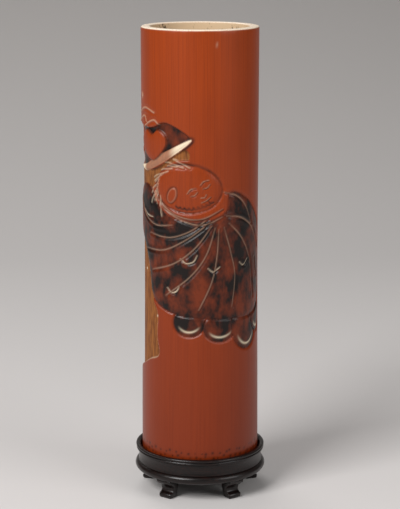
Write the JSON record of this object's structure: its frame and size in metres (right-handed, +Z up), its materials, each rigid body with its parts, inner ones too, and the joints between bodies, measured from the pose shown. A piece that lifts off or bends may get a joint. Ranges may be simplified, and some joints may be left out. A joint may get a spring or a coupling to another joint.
{
  "type": "bamboo incense holder",
  "caption": "Tall carved bamboo tube for incense sticks, standing in a turned dark wood stand with a beaded rim, waist, lower moulding and cabriole feet.",
  "frame": {"origin": "centre of the circle of feet, on the surface that the holder stands on", "axes": "+Z up along the tube, -Y towards the front with the carving, +X to the right seen from the front"},
  "size_m": [0.073, 0.073, 0.2585],
  "materials": {
    "bamboo": "stained and polished bamboo with a soft gloss",
    "bamboo_floor": "bare, dull",
    "blackwood": "dark polished hardwood"
  },
  "bodies": {
    "stand": {"gallery_rim": "blackwood", "seat_board": "blackwood", "waist_band": "blackwood", "foot_flange": "blackwood", "foot_1": "blackwood", "foot_2": "blackwood", "foot_3": "blackwood", "foot_4": "blackwood", "foot_5": "blackwood"},
    "tube": {"bamboo_tube": "bamboo", "tube_floor": "bamboo_floor"}
  },
  "joints": [
    {"name": "tube_lift", "type": "slide", "parent": "stand", "child": "tube", "axis": [0, 0, 1], "range_m": [0, 0.06]}
  ]
}
